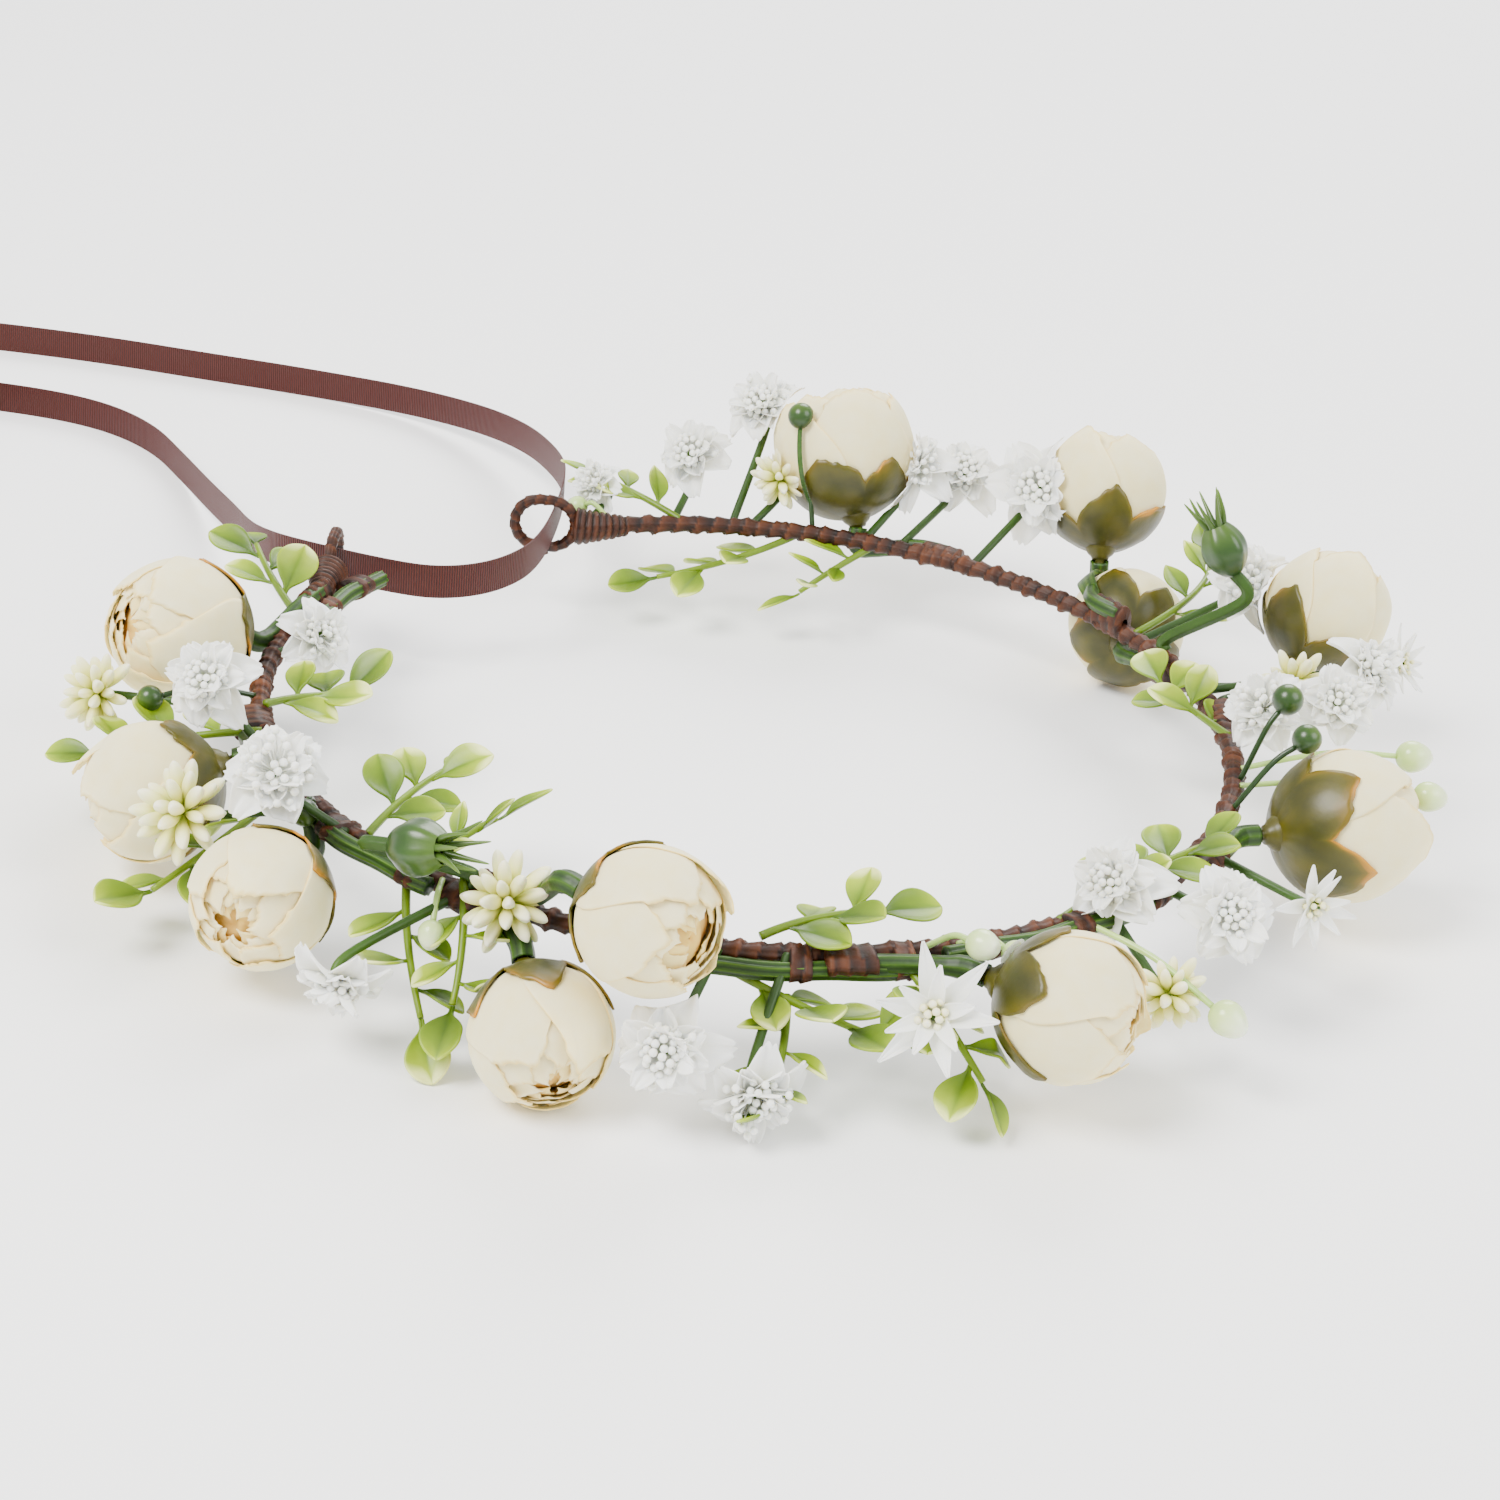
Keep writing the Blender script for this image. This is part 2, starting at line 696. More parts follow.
def make_hoop():
    line = even_line(hoop_line(), 0.45)
    length = line_length(line)
    shape = Shape()
    radius = wound(TAPE_RADIUS, HOOP_PITCH, length, depth=0.5, knots=0.45)
    shape.tube(line, radius, 18, wound_tint(HOOP_PITCH, length))
    build("hoop_tape_winding", shape, TAPE, CROWN, ["hoop_tape"])


def loop_line(near_end, outward):
    """Closed upright slot, from its near side round."""
    straight = LOOP_HALF_LENGTH - LOOP_BEND_RADIUS
    centre = near_end + outward * LOOP_HALF_LENGTH
    line = []
    for i in range(97):
        turn = math.pi + 2 * math.pi * i / 96
        shift = straight if math.cos(turn) > 0 else -straight
        x = shift + LOOP_BEND_RADIUS * math.cos(turn)
        line.append(centre + outward * x + UP * (LOOP_BEND_RADIUS * math.sin(turn)))
    return line


def make_loop(side, near_end, outward):
    line = even_line(loop_line(near_end, outward), 0.3)
    length = line_length(line)
    shape = Shape()
    radius = wound(LOOP_TAPE_RADIUS, LOOP_PITCH, length, depth=0.25, uneven=0.08, seed=3.0)
    shape.tube(line, radius, 14, wound_tint(LOOP_PITCH, length, 3.0), caps=False)
    build(f"eyelet_winding_{side}", shape, TAPE, CROWN, [f"eyelet_tape_{side}"])
    if side == "right":
        nub = Shape()
        start = near_end + outward * 5.5 + UP * -6.2
        nub.tube(smooth_line([start, start + Vector((-1.5, -0.6, -0.5))]), lambda u, v: 0.7, 8)
        build("eyelet_tape_end", nub, TAPE, CROWN, [])


def make_neck(side, start, direction, curve):
    """Eight tight winds that taper from the loop down to the hoop."""
    line = []
    for i in range(101):
        t = i / 100
        line.append(start + direction * (NECK_LENGTH * t) + curve * (t * t))
    length = line_length(line)

    def reach(u, v):
        wind = (v * length / NECK_PITCH + u) % 1.0
        bead = math.sin(math.pi * wind) ** 0.5
        taper = 4.3 - 2.2 * v**0.8
        end = min(1.0, v * 14, (1 - v) * 14 + 0.35)
        lump = rough(Vector((v * 9, u * 2, 7.0)), 1.0, 0.35)
        return max(0.9, (taper - 0.5 + 0.6 * bead + lump) * end)

    def tint(u, v):
        wind = (v * length / NECK_PITCH + u) % 1.0
        return 0.1 + 0.55 * math.sin(math.pi * wind) + rough(Vector((v * 9, u * 3, 1)), 1.0, 0.4)

    shape = Shape()
    shape.tube(line, reach, 30, tint)
    build(f"neck_winding_{side}", shape, TAPE, CROWN, [f"neck_wrap_{side}"])


# ---- Bud heads ----
def on_ball(radius, polar, turn):
    return Vector((
        radius * math.sin(polar) * math.cos(turn),
        radius * math.sin(polar) * math.sin(turn),
        radius * math.cos(polar),
    ))


def bud_petal(radius, top, half_width, middle, lift, seed, flare, depth):
    """One wrapped petal with a blunt corner on top; one edge laps over the next petal."""
    shape = Shape()
    rng = random.Random(seed)
    frays = [rng.uniform(0, 6.28) for _ in range(3)]
    peak = rng.uniform(-0.4, 0.4)
    slope = rng.uniform(0.22, 0.38)

    def spot(u, v):
        across = 2 * u - 1
        ragged = 0.03 * math.sin(5 * across + frays[0]) + 0.014 * math.sin(17 * across + frays[1])
        ragged += 0.01 * math.sin(31 * across + frays[2])
        crown_drop = slope * abs(across - peak) ** 1.3 + ragged
        polar = math.pi * 0.985 - (math.pi * 0.985 - top - crown_drop) * v
        width = half_width * (0.55 + 0.45 * math.sin(math.pi * min(1.0, v * 1.05)))
        turn = middle + across * width
        lap = lift * (across + 1) * 0.5
        curl = flare * max(0.0, v - 0.72) ** 1.5 * 6.7 * (1 - 0.5 * abs(across - peak))
        crease = 0.3 * rough(Vector((turn * 2.5, polar * 2.2, seed * 0.7)), 1.0, 1.0)
        reach = radius * (1 + 0.03 * math.cos(polar)) + lap + curl + crease * (0.4 + 0.6 * v)
        return on_ball(reach, polar, turn)

    def tint(u, v):
        edge = max(0.0, abs(2 * u - 1) - 0.93) * 10 + max(0.0, v - 0.955) * 16
        return (0.58 + 0.3 * v) * (1 - 0.75 * depth) + (1 - depth) * 0.3 * min(1.0, edge)

    shape.grid(22, 26, spot, tint)
    return shape


def bud_heart(radius, seed):
    """The folded cloth deep in the mouth: a ruffled dome under the innermost petals."""
    shape = Shape()

    def spot(u, v):
        turn = 2 * math.pi * u
        polar = 0.02 + 1.1 * v
        folds = 0.28 * math.sin(3 * turn + 9 * polar + seed) * min(1.0, 5 * polar)
        return on_ball(radius - 0.5 * math.exp(-8 * polar) + folds, polar, turn)

    shape.grid(16, 36, spot, lambda u, v: 0.02 + 0.3 * v, closed=True)
    return shape


def calyx_cup(radius, seed):
    """Five uneven sepals joined in a cup round the bud's base, with torn edges."""
    shape = Shape()
    rng = random.Random(seed)
    tips = [math.radians(rng.uniform(86, 116)) for _ in range(5)]
    valleys = [math.radians(rng.uniform(122, 142)) for _ in range(5)]
    leans = [rng.uniform(-0.16, 0.16) for _ in range(5)]
    fray = Vector((seed * 3.1, 0, 0))

    def edge_at(u):
        k = int(u * 5) % 5
        lobe = u * 5 % 1.0
        top = 0.5 + leans[k]
        point = lobe / top if lobe < top else (1 - lobe) / (1 - top)
        valley = valleys[k] if lobe < top else valleys[(k + 1) % 5]
        return point, valley + (tips[k] - valley) * point**0.8

    def spot(u, v):
        point, edge = edge_at(u)
        turn = 2 * math.pi * u
        around = Vector((math.cos(turn), math.sin(turn), 0))
        torn = 0.09 * noise.noise(around * 2.2 + fray) + 0.05 * noise.noise(around * 9 + fray)
        polar = math.pi * 0.97 - (math.pi * 0.97 - edge - torn * v) * v
        bulge = 0.15 * noise.noise(around * 3 + UP * v * 2 + fray)
        reach = radius - 0.1 + 0.3 * v**8 + 0.2 * point * (1 - v) + bulge * v
        return on_ball(reach, polar, turn)

    def tint(u, v):
        turn = 2 * math.pi * u
        around = Vector((math.cos(turn), math.sin(turn), v * 1.5))
        blotch = 0.35 * noise.noise(around * 2.5 + fray)
        return 0.3 + blotch + 0.75 * max(0.0, v - 0.75) * 4 * (0.6 + blotch)

    shape.grid(14, 150, spot, tint, closed=True)
    return shape


def calyx_peg(radius):
    """The boss under the cup and the peg that plugs into the stem."""
    base = -radius
    profile = [(3.4, base + 0.9), (3.3, base + 0.2), (2.7, base - 0.7), (1.9, base - 1.4)]
    profile += [(1.75, base - 1.9), (1.0, base - 2.0)]
    profile += [(PEG_RADIUS, base - 3.5), (PEG_RADIUS, base - 5.6)]
    profile += [(0.6, base - 5.8), (0.01, base - 5.8)]
    shape = Shape()
    shape.turned(profile, 20, lambda u, v: 0.45 - 0.3 * v)
    return shape


def make_bud(number):
    centre, axis, radius = BUD_SPOTS[number - 1]
    opening = BUDS[number - 1][1]
    body = f"bud_{number:02d}"
    rng = random.Random(100 + number)
    place = aimed(centre, axis, rng.uniform(0, 6.28))
    petals = [f"{body}_petals"]

    # Each layer's radius, top, number of petals, half width, lift at the lap and depth.
    layers = [
        (radius - 0.6, 0.50 + 0.42 * opening, 5, 0.98, 0.45, 0.0),
        (radius - 1.15, 0.36 + 0.38 * opening, 5, 1.0, 0.4, 0.05),
        (radius - 1.6, 0.25 + 0.34 * opening, 5, 1.0, 0.35, 0.2),
        (radius - 2.05, 0.20 + 0.34 * opening, 4, 1.15, 0.35, 0.4),
        (radius - 2.5, 0.17 + 0.32 * opening, 4, 1.15, 0.35, 0.65),
        (radius - 2.95, 0.15 + 0.30 * opening, 3, 1.35, 0.35, 0.85),
    ]
    count = 0
    for row, (reach, top, how_many, half_width, lift, depth) in enumerate(layers):
        for k in range(how_many):
            middle = 2 * math.pi * (k + 0.43 * row) / how_many + rng.uniform(-0.1, 0.1)
            edge = top + rng.uniform(-0.1, 0.12)
            seed = number * 40 + row * 7 + k
            flare = 0.12 + 0.3 * opening if row < 2 else 0.05
            if row == 0 and k == LOOSE_PETAL:
                flare = 1.6
            shape = bud_petal(reach, edge, half_width, middle, lift, seed, flare, depth)
            count += 1
            name = f"{body}_petal_{count:02d}"
            build(name, shape, IVORY, body, petals, PETAL_CLOTH, 0, place)
    heart = bud_heart(radius - 3.6, number)
    build(f"{body}_heart", heart, IVORY, body, petals, 0.2, 0, place)
    calyx = [f"{body}_calyx"]
    cup = calyx_cup(radius, number)
    build(f"{body}_sepals", cup, CALYX, body, calyx, SEPAL_CLOTH, 0, place)
    peg = calyx_peg(radius)
    build(f"{body}_peg", peg, CALYX, body, calyx, 0, 0, place)


# ---- Stems and ties ----
def make_stem(number):
    """Ribbed green stem: a socket for the bud's peg, a bend and a foot along the hoop."""
    centre, axis, radius = BUD_SPOTS[number - 1]
    foot_angle, (out, up) = BUDS[number - 1][2:]
    mouth = centre - axis * (radius + SOCKET_START)
    elbow = mouth - axis * SOCKET_LENGTH
    foot = on_hoop(foot_angle, out, up)
    gap = (hoop_angle(centre) - foot_angle + 180) % 360 - 180
    toe = on_hoop(foot_angle - math.copysign(6, gap), out, up)
    outside = even_line(smooth_line([mouth, elbow, foot, toe], 10), 0.5)
    frames = carried_frames(outside)
    side, over = frames[0][1:]
    length = line_length(outside)
    shape = Shape()

    # The first rows line the socket's bore, and the rest are the outside.
    bore = 0.08

    def skin(u, v):
        turn = 2 * math.pi * u
        if v < bore:
            spot = mouth - axis * 4.2 * (1 - v / bore)
            return spot + (side * math.cos(turn) + over * math.sin(turn)) * 1.07
        share = (v - bore) / 0.92
        place, across, above = frames[round(share * (len(frames) - 1))]
        along = share * length
        collar = 0.35 if along < 5 else 0.35 * max(0.0, 1 - (along - 5) / 2)
        ribs = 0.1 * math.cos(7 * turn)
        end = 1.0 if share < 0.97 else 0.55
        reach = (STEM_RADIUS + collar + ribs) * end
        return place + (across * math.cos(turn) + above * math.sin(turn)) * reach

    rows = round((len(frames) - 1) / 0.92)
    shape.grid(rows, 28, skin, lambda u, v: 0.35 + 0.35 * math.cos(14 * math.pi * u), closed=True)
    clear_of_buds(shape, own=number)
    build(f"bud_stem_{number:02d}", shape, STEM, CROWN, ["bud_stems"])


def make_tie(name, angle, span, out, up):
    """Tape wound round the hoop and the foot beside it."""
    line = []
    steps = max(12, round(abs(span) * 3.2))
    for i in range(steps + 1):
        line.append(on_hoop(angle + span * i / steps, out * 0.5, up * 0.5))
    length = line_length(line)
    long_axis = (math.hypot(out, up) + TAPE_RADIUS + STEM_RADIUS) / 2 + 0.35
    short_axis = TAPE_RADIUS + 0.4
    shape = Shape()
    base = wound(1.0, TIE_PITCH, length, depth=0.13, uneven=0.05, seed=angle)

    def skin(u, v):
        turn = 2 * math.pi * u
        spot = line[round(v * steps)]
        outward = Vector((spot.x, spot.y, 0)).normalized()
        reach = base(u, v)
        ends = 0.35 if v in (0.0, 1.0) else min(1.0, 0.86 + v * 4, 0.86 + (1 - v) * 4)
        along_offset = (outward * out + UP * up).normalized()
        across = (outward * up - UP * out).normalized()
        move = along_offset * (long_axis * math.cos(turn)) + across * (short_axis * math.sin(turn))
        return spot + move * reach * ends

    shape.grid(steps, 26, skin, wound_tint(TIE_PITCH, length, angle), closed=True)
    build_fixed(name, shape, TAPE, ["stem_ties"])


def make_vine(number, first, last, out, up):
    line = []
    steps = round((last - first) * 2.5)
    for i in range(steps + 1):
        sway = math.sin(i * 0.22 + number) * 0.35
        line.append(on_hoop(first + (last - first) * i / steps, out + sway, up))
    shape = Shape()

    def rib(u):
        return math.cos(16 * math.pi * u)

    shape.tube(line, lambda u, v: VINE_RADIUS + 0.14 * rib(u), 32, lambda u, v: 0.4 + 0.4 * rib(u))
    build_fixed(f"vine_stem_{number:02d}", shape, STEM, ["vine_stems"])
    for k, share in enumerate((0.12, 0.5, 0.88), 1):
        make_tie(f"vine_tie_{number:02d}_{k}", first + (last - first) * share, 2.6, out, up)


# ---- Blossoms ----
def soft_petal(length, width, rise, curl, seed, tip=0.0):
    """A thin petal from a hub: rises, then flares outward, with a lobed, crinkled edge."""
    shape = Shape()

    def spot(u, v):
        across = 2 * u - 1
        narrow = (1 - tip) + tip * (1 - v) ** 0.7
        half = width * 0.5 * math.sin(math.pi * min(0.97, 0.16 + 0.72 * v)) ** 0.8 * narrow
        lobes = 0.07 * (0.5 - 0.5 * math.cos(3 * math.pi * across)) * (1 - tip)
        reach = length * v * (1 - 0.05 * across**2 * (1 - tip) - lobes * v**2)
        cup = (0.9 - tip * 0.4) * half * across**2 * 0.6
        ruffle = 0.055 * length * math.sin(7 * across + seed) * v**2 * (1 - tip)
        crinkle = 0.02 * length * math.sin(17 * across + 3 * seed) * v * (1 - tip)
        height = rise * length * v + curl * length * v**2.5 + cup + ruffle + crinkle
        return Vector((reach, across * half, height))

    shape.grid(9, 14, spot, lambda u, v: 0.1 + 1.2 * v)
    return shape


def petal_whorl(count, length, width, rise, curl, seed, tip=0.0, height=0.0):
    shape = Shape()
    rng = random.Random(seed)
    for k in range(count):
        turn = 2 * math.pi * k / count + rng.uniform(-0.2, 0.2)
        size = rng.uniform(0.82, 1.12)
        lean = rise + rng.uniform(-0.18, 0.18)
        petal = soft_petal(length * size, width, lean, curl, seed + k, tip)
        tilt = Matrix.Translation((0, 0, height)) @ Matrix.Rotation(turn, 4, "Z")
        shape.add(petal, tilt @ Matrix.Translation((0.6, 0, 0)))
    return shape


def knob(size, count, bead, stamens, seed):
    """A dome of small beads, some of them on thin stamens."""
    shape = Shape()
    rng = random.Random(seed)
    golden = math.pi * (3 - math.sqrt(5))
    for k in range(count):
        polar = math.acos(1 - 1.15 * (k + 0.5) / count)
        turn = golden * k
        lift = rng.uniform(0.85, 1.1)
        spot = on_ball(size * lift, polar, turn) + Vector((0, 0, size * 0.4))
        if rng.random() < stamens:
            tip = spot * 1.5
            shape.tube([Vector((0, 0, size * 0.3)), spot, tip], lambda u, v: 0.14, 5)
            spot = tip
        ball = Shape()
        turns = [math.pi * i / 5 for i in range(6)]
        arc = [(bead * math.sin(t), -bead * math.cos(t)) for t in turns]
        ball.turned(arc, 8, lambda u, v: 0.35 + 0.6 * v)
        shape.add(ball, Matrix.Translation(spot))
    return shape


def flower_stalk(name, point, direction, node):
    top = place_of(point)
    back = -Vector(direction).normalized()
    foot = on_hoop(hoop_angle(top) + 3, 1.2, 0.6)
    line = even_line(smooth_line([top - back * 1.5, top + back * 3.5, foot], 8), 0.6)
    shape = Shape()
    shape.tube(line, lambda u, v: 0.75 + 0.1 * v, 10, lambda u, v: 0.7 - 0.5 * v)
    build_fixed(name, shape, STEM, [node])


def placed(shape, point, direction, roll):
    """The shape in its place on the crown, pushed clear of the bud heads."""
    result = Shape()
    result.add(shape, aimed(place_of(point), direction, roll))
    clear_of_buds(result)
    return result


def make_flower(name, kind, rings, heart, heart_material, point, direction, roll, cloth):
    """Two rings of petals round a beaded knob, on a stalk."""
    for ring, shape, turn in zip(("outer", "inner"), rings, (roll, roll + 0.5)):
        shape = placed(shape, point, direction, turn)
        nodes = [f"{kind}_{ring}_petals"]
        build(f"{name}_{ring}", shape, WHITE, CROWN, nodes, cloth, 1)
    heart = placed(heart, point, direction, roll)
    build(f"{name}_knob", heart, heart_material, CROWN, [f"{kind}_knobs"])
    flower_stalk(f"{name}_stalk", point, direction, f"{kind}_stalks")


def make_white_blossom(number, point, direction, size):
    seed = number * 11
    outer = petal_whorl(6, size * 1.05, size * 0.86, 0.0, -0.28, seed)
    inner = petal_whorl(7, size * 0.80, size * 0.62, 0.22, -0.05, seed + 5, height=0.6)
    middle = petal_whorl(7, size * 0.62, size * 0.46, 0.85, 0.0, seed + 8)
    inner.add(middle, Matrix.Translation(UP))
    stamens = 0.5 if number % 3 == 0 else 0.06
    heart = knob(size * 0.44, 46, size * 0.085, stamens, number)
    name = f"white_blossom_{number:02d}"
    rings = (outer, inner)
    make_flower(name, "white", rings, heart, WHITE, point, direction, number * 1.3, 0.16)


def make_star_blossom(number, point, direction, size):
    seed = number * 17
    outer = petal_whorl(6, size, size * 0.42, 0.12, 0.12, seed, tip=0.75)
    inner = petal_whorl(6, size * 0.66, size * 0.32, 0.5, 0.1, seed + 3, tip=0.7, height=0.6)
    heart = knob(size * 0.2, 14, size * 0.07, 0.3, number + 50)
    name = f"star_blossom_{number:02d}"
    rings = (outer, inner)
    make_flower(name, "star", rings, heart, CREAM, point, direction, number * 0.9, 0.2)


def club(length, seed):
    """One club-shaped petal: thin foot, swollen middle and a blunt, slightly pinched tip."""
    profile = []
    for i in range(13):
        t = i / 12
        swell = 0.05 + 0.10 * math.sin(math.pi * max(0.0, t - 0.15) / 0.85 * 0.88) ** 1.3
        profile.append((length * swell * (1 if t < 1 else 0.4), length * t))
    profile.append((0.01, length))
    shape = Shape()

    def three_sided(turn, v):
        return 1 + 0.16 * math.cos(3 * turn + seed)

    shape.turned(profile, 10, lambda u, v: v**1.2, three_sided)
    return shape


def make_cluster(number, point, direction, size):
    shape = Shape()
    rng = random.Random(number * 3)
    for row, (count, lean) in enumerate(((1, 0), (5, 32), (9, 62), (9, 90), (6, 116))):
        for k in range(count):
            turn = 2 * math.pi * k / count + 0.35 * row + rng.uniform(-0.15, 0.15)
            tilt = math.radians(lean + rng.uniform(-6, 6))
            matrix = Matrix.Rotation(turn, 4, "Z") @ Matrix.Rotation(tilt, 4, "Y")
            shape.add(club(size * rng.uniform(0.95, 1.25), k), matrix)
    shape = placed(shape, point, direction, 0.0)
    name = f"cream_cluster_{number:02d}"
    build(name, shape, CREAM, CROWN, ["cream_clusters"], 0, 1)
    flower_stalk(f"{name}_stalk", point, direction, "cluster_stalks")


def make_pod(number, point, direction, length):
    """Fat faceted pod with long sepals and a thick bent stem."""
    width = length * 0.36
    shape = Shape()
    profile = []
    for i in range(17):
        t = i / 16
        swell = math.sin(math.pi * (0.02 + 0.84 * t**0.9)) ** 0.75
        profile.append((max(0.05, width * swell), length * 0.9 * t))

    def faceted(turn, v):
        return 1 + 0.05 * math.cos(6 * turn)

    shape.turned(profile, 36, lambda u, v: 0.3 + 0.5 * v, faceted)
    for k in range(7):
        turn = 2 * math.pi * k / 7
        out = Vector((math.cos(turn), math.sin(turn), 0))
        base = out * width * 0.3 + UP * length * 0.82
        bend = 0.8 + 0.3 * math.sin(k * 2.1)
        tip = base + out * (3.4 * bend) + UP * 7.5
        line = smooth_line([base, base + out * 1.2 + UP * 3.2, tip])
        shape.tube(line, lambda u, v: 0.75 * (1 - v) ** 0.8 + 0.08, 8, lambda u, v: 0.6 + 0.4 * v)
    shape = placed(shape, point, direction, 0.0)
    build(f"seed_pod_{number:02d}", shape, POD, CROWN, ["seed_pods"])
    top = place_of(point)
    back = -Vector(direction).normalized()
    foot = on_hoop(hoop_angle(top) + 6, 1.2, 1.4)
    line = even_line(smooth_line([top - back, top + back * 5, foot + UP * 3, foot], 8), 0.5)
    stem = Shape()
    stem.tube(line, lambda u, v: 1.2 + 0.12 * math.cos(10 * math.pi * u), 20, lambda u, v: 0.5)
    build_fixed(f"seed_pod_stem_{number:02d}", stem, STEM, ["seed_pods"])


def make_berry(name, point, radius, material, node, drop):
    """A ball or a drop with a dimple at its end, on a curved stalk."""
    ball = place_of(point)
    foot = on_hoop(hoop_angle(ball) - 3, 1.0, 1.2)
    knee = (ball + foot) * 0.5 + Vector((0, 0, 2))
    away = (ball - knee).normalized()
    profile = []
    for i in range(15):
        t = math.pi * i / 14
        stretch = 1 + (0.35 if drop else 0.0) * max(0.0, -math.cos(t))
        dimple = 0.12 if i == 14 else 0.0
        height = -radius * math.cos(t) * stretch - dimple * radius
        profile.append((max(0.02, radius * math.sin(t)), height))
    shape = Shape()
    round_part = Shape()
    round_part.turned(profile, 22, lambda u, v: 0.1 + 0.85 * v)
    shape.add(round_part, aimed(ball, away))
    line = even_line(smooth_line([foot, knee, ball - away * radius * 0.9], 8), 0.6)
    shape.tube(line, lambda u, v: 0.55, 8, lambda u, v: 0.2)
    build_fixed(name, shape, material, [node])


# ---- Leaves ----
def blade(length, kind, seed):
    """A leaf along X: a spoon or a point, with a sunken midrib and a lifted tip."""
    shape = Shape()
    width = length * (0.66 if kind == "spoon" else 0.42)
    bend = random.Random(seed).uniform(-0.08, 0.22)

    def spot(u, v):
        across = 2 * u - 1
        past_foot = max(0.0, (v - 0.18) / 0.82)
        if kind == "spoon":
            swell = max(0.0, math.sin(math.pi * past_foot**1.12)) ** 0.62
        else:
            swell = max(0.0, math.sin(math.pi * past_foot**0.8)) ** 0.9
        half = width * 0.5 * max(0.10 if v < 0.5 else 0.015, swell)
        cup = 0.30 * half * across**2
        rib = -0.35 * math.exp(-((across * half / 0.5) ** 2)) * (1 - v)
        height = cup + rib + bend * length * v * v + 0.12 * math.sin(5 * v + seed)
        return Vector((length * v, across * half, height))

    shade = random.Random(seed + 500).uniform(-0.3, 0.15)

    def tint(u, v):
        across = abs(2 * u - 1)
        return 0.05 + shade + v**1.3 * 0.9 + 0.15 * across - 0.2 * math.exp(-((across * 6) ** 2))

    shape.grid(14, 12, spot, tint)
    return shape


def make_sprig(number, node, start, middle, end, count, length, kind="spoon"):
    """A moulded stalk with leaves on alternate sides and one at the tip."""
    a, b, c = (place_of(point) for point in (start, middle, end))

    def bend(t):
        return a * (1 - t) ** 2 + b * (2 * t * (1 - t)) + c * t**2

    rng = random.Random(number * 13)
    shape = Shape()
    for k in range(count):
        share = 0.25 + 0.75 * k / (count - 1)
        heading = ((b - a) * (1 - share) + (c - b) * share).normalized()
        side = heading.cross(UP).normalized() * (-1) ** k
        last = k == count - 1
        along = heading if last else (heading + side * rng.uniform(0.9, 1.5)).normalized()
        along = (along + UP * rng.uniform(-0.35, 0.6)).normalized()
        over = along.cross(UP).cross(along) + side * rng.uniform(0.1, 0.5)
        over = (over - along * over.dot(along)).normalized()
        matrix = Matrix((along, over.cross(along), over)).transposed().to_4x4()
        matrix.translation = bend(share)
        shape.add(blade(length * rng.uniform(0.95, 1.3), kind, number * 9 + k), matrix)
    name = f"leaf_blades_{number:02d}"
    build_fixed(name, shape, LEAF, [node], LEAF_THICKNESS, 1)
    stalk = Shape()
    line = [bend(i / 24) for i in range(25)]
    stalk.tube(line, lambda u, v: 0.8 - 0.25 * v, 10, lambda u, v: 0.2 + 0.3 * v)
    build_fixed(f"leaf_stalk_{number:02d}", stalk, LEAF, [node])


# ---- Ribbon ----
def coil_points(centre, start_angle, way, turns):
    """The rolled-up end: a spiral that tightens by one pitch each turn."""
    points = []
    count = round(turns * COIL_POINTS_PER_TURN)
    for i in range(count + 1):
        share = i / COIL_POINTS_PER_TURN
        angle = start_angle + way * 2 * math.pi * share
        reach = COIL_RADIUS - COIL_PITCH * share
        x, y = centre
        points.append((x + reach * math.cos(angle), y + reach * math.sin(angle), ON_TABLE))
    return points


def spline_line(points):
    """The smooth line of a NURBS curve with these control points."""
    curve = bpy.data.curves.new("route", "CURVE")
    curve.dimensions = "3D"
    curve.resolution_u = 12
    spline = curve.splines.new("NURBS")
    spline.points.add(len(points) - 1)
    for spot, point in zip(spline.points, points):
        spot.co = (*point, 1)
    spline.order_u = 3
    spline.use_endpoint_u = True
    carrier = bpy.data.objects.new("route", curve)
    bpy.context.scene.collection.objects.link(carrier)
    bpy.context.view_layer.update()
    mesh = bpy.data.meshes.new_from_object(carrier)
    line = [vertex.co.copy() for vertex in mesh.vertices]
    bpy.data.objects.remove(carrier)
    bpy.data.meshes.remove(mesh)
    return line


def make_ribbon(name, points, nodes):
    """An upright woven strip along the route."""
    line = spline_line(points)
    run = 0.0
    shape = Shape()
    half = RIBBON_WIDTH / 2
    thick = RIBBON_THICKNESS / 2
    outline = [(-thick, -half), (thick, -half), (thick, 0)]
    outline += [(thick, half), (-thick, half), (-thick, 0)]
    for i, spot in enumerate(line):
        ahead = line[min(i + 1, len(line) - 1)] - line[max(i - 1, 0)]
        side = Vector((ahead.y, -ahead.x, 0)).normalized()
        if i:
            run += (spot - line[i - 1]).length
        for across, height in outline:
            shape.points.append((spot + side * across + UP * height) / MM)
            shape.tints.append(0.5)
            shape.flat.append((run / MM, height / MM))
    sides = len(outline)
    for i in range(len(line) - 1):
        for k in range(sides):
            a, b = i * sides + k, i * sides + (k + 1) % sides
            shape.faces.append((a, b, b + sides, a + sides))
    shape.faces.append(tuple(reversed(range(sides))))
    shape.faces.append(tuple((len(line) - 1) * sides + k for k in range(sides)))
    piece = build(name, shape, RIBBON, CROWN, nodes)
    piece.data.polygons.foreach_set("use_smooth", [False] * len(piece.data.polygons))
    print(name, "is", round(run, 4), "m long")


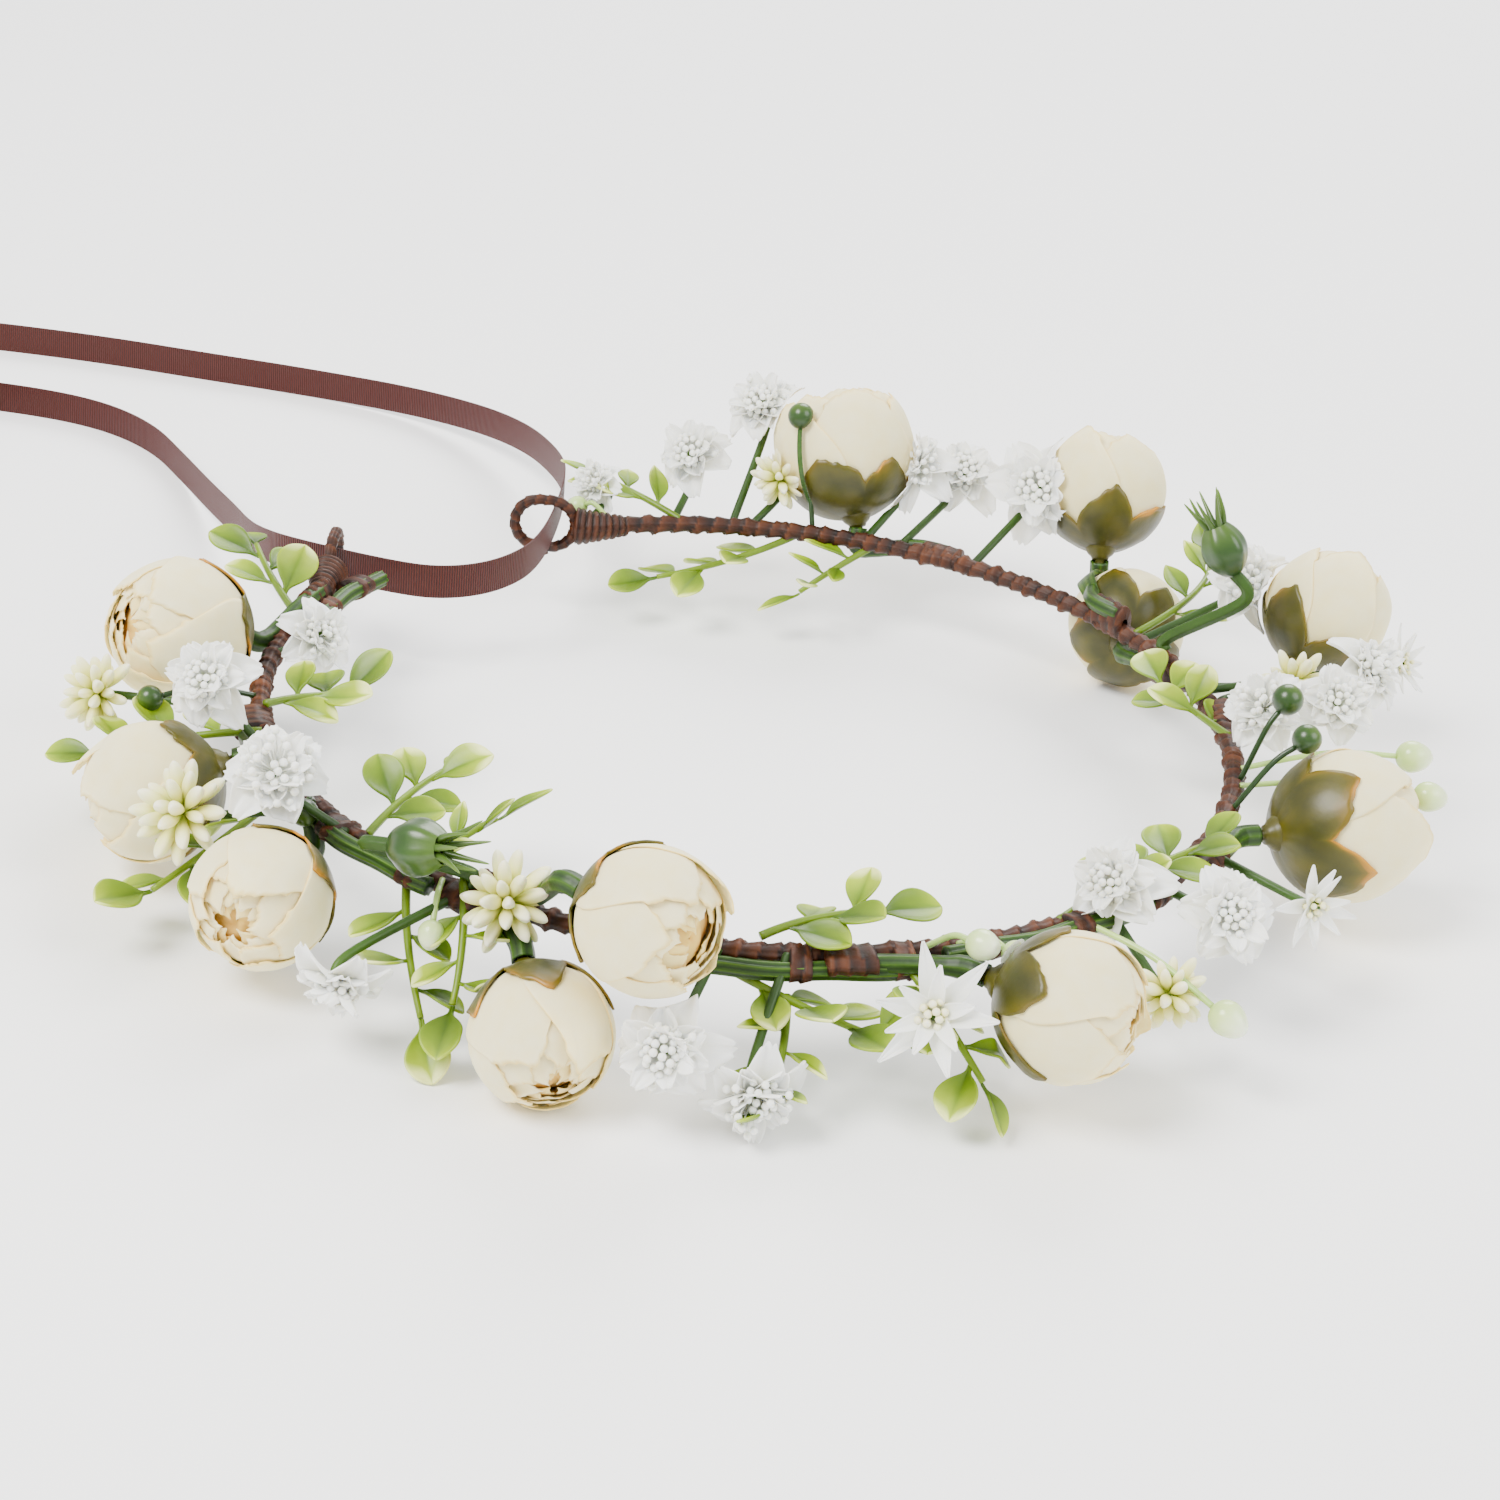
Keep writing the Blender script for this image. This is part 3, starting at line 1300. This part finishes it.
# ---- Camera, light and floor ----
CAMERA_DISTANCE = 0.6
CAMERA_ELEVATION = math.radians(25.4)
CAMERA_ROLL = math.radians(5.27)
LENS_LENGTH = 77.5
SENSOR_WIDTH = 36
LENS_SHIFT = -0.026
FLOOR_HALF = 6
WORLD_STRENGTH = 1.2
target = Vector((0, 0, HOOP_HEIGHT * MM))
forward = Vector((0, math.cos(CAMERA_ELEVATION), -math.sin(CAMERA_ELEVATION)))
level_up = Vector((0, math.sin(CAMERA_ELEVATION), math.cos(CAMERA_ELEVATION)))
level_right = Vector((1, 0, 0))
camera_right = level_right * math.cos(CAMERA_ROLL) + level_up * math.sin(CAMERA_ROLL)
camera_up = level_up * math.cos(CAMERA_ROLL) - level_right * math.sin(CAMERA_ROLL)
lens = bpy.data.cameras.new("camera")
lens.lens = LENS_LENGTH
lens.sensor_width = SENSOR_WIDTH
lens.shift_y = LENS_SHIFT
lens.clip_end = 20
camera = bpy.data.objects.new("camera", lens)
camera.matrix_world = Matrix((camera_right, camera_up, -forward)).transposed().to_4x4()
camera.matrix_world.translation = target - forward * CAMERA_DISTANCE
bpy.context.scene.collection.objects.link(camera)
bpy.context.scene.camera = camera


def area_light(name, place, size, power, colour):
    data = bpy.data.lights.new(name, "AREA")
    data.shape = "DISK"
    data.size = size
    data.energy = power
    data.color = colour
    light = bpy.data.objects.new(name, data)
    light.location = place
    light.rotation_euler = (target - Vector(place)).to_track_quat("-Z", "Y").to_euler()
    bpy.context.scene.collection.objects.link(light)


area_light("key_light", (-0.7, -0.5, 1.1), 0.7, 36, (1.0, 0.98, 0.95))
area_light("fill_light", (0.9, -0.4, 0.8), 0.9, 14, (0.98, 0.99, 1.0))
area_light("back_light", (0.2, 1.1, 0.9), 0.8, 18, (1.0, 1.0, 1.0))
world = bpy.data.worlds.new("soft_white")
world.use_nodes = True
background = world.node_tree.nodes["Background"]
background.inputs["Color"].default_value = (1, 1, 1, 1)
background.inputs["Strength"].default_value = WORLD_STRENGTH
bpy.context.scene.world = world

floor_mesh = bpy.data.meshes.new("floor")
corners = [(x * FLOOR_HALF, y * FLOOR_HALF, 0) for x, y in ((-1, -1), (1, -1), (1, 1), (-1, 1))]
floor_mesh.from_pydata(corners, [], [(0, 1, 2, 3)])
floor_mesh.materials.append(floor_material())
floor = bpy.data.objects.new("floor", floor_mesh)
bpy.context.scene.collection.objects.link(floor)

# ---- The crown ----
right_coil = coil_points(RIGHT_COIL_CENTRE, -math.pi / 2, -1, RIGHT_COIL_TURNS)
left_coil = coil_points(LEFT_COIL_CENTRE, math.pi / 2, 1, LEFT_COIL_TURNS)
make_ribbon("ribbon_right_tail", RIGHT_TAIL + right_coil,
            ["ribbon_tail_right", "ribbon_coil_right"])
make_ribbon("ribbon_left_tail", LEFT_TAIL + left_coil,
            ["ribbon_tail_left", "ribbon_coil_left"])
make_ribbon("ribbon_middle", BETWEEN_LOOPS,
            ["ribbon_between_loops"])

bpy.data.objects["hoop_wire"].data.materials.clear()
bpy.data.objects["hoop_wire"].data.materials.append(STEEL)
make_hoop()
make_loop("right", RIGHT_LOOP_END, Vector((-1, 0, 0)))
make_loop("left", LEFT_LOOP_END, Vector((0, 1, 0)))
make_neck("right", RIGHT_LOOP_END + Vector((-0.6, 0, 0)), Vector((1, 0, 0)), Vector((0, 3.0, 0)))
make_neck("left", LEFT_LOOP_END + Vector((0, 0.6, 0)), Vector((0, -1, 0)), Vector((0, 0, 0)))

for number, bud in enumerate(BUDS, 1):
    make_bud(number)
    make_stem(number)
    foot_angle, (out, up) = bud[2:]
    centre = BUD_SPOTS[number - 1][0]
    gap = (hoop_angle(centre) - foot_angle + 180) % 360 - 180
    span = -math.copysign(TIE_SPAN, gap)
    make_tie(f"stem_tie_{number:02d}", foot_angle + span * 0.15, span, out, up)
for number, item in enumerate(VINES, 1):
    make_vine(number, *item)
for number, item in enumerate(WHITE_BLOSSOMS, 1):
    make_white_blossom(number, *item)
for number, item in enumerate(STAR_BLOSSOMS, 1):
    make_star_blossom(number, *item)
for number, item in enumerate(CREAM_CLUSTERS, 1):
    make_cluster(number, *item)
for number, item in enumerate(SEED_PODS, 1):
    make_pod(number, *item)
for number, (point, radius) in enumerate(GREEN_BERRIES, 1):
    name = f"green_berry_{number:02d}"
    make_berry(name, point, radius, POD, "green_berries", drop=False)
for number, (point, radius) in enumerate(PALE_DROPS, 1):
    name = f"pale_drop_{number:02d}"
    make_berry(name, point, radius, DROP, "pale_drops", drop=True)
number = 0
for region, items in LEAF_SPRIGS.items():
    for item in items:
        number += 1
        make_sprig(number, f"leaf_sprigs_{region}", *item)

bpy.context.view_layer.update()
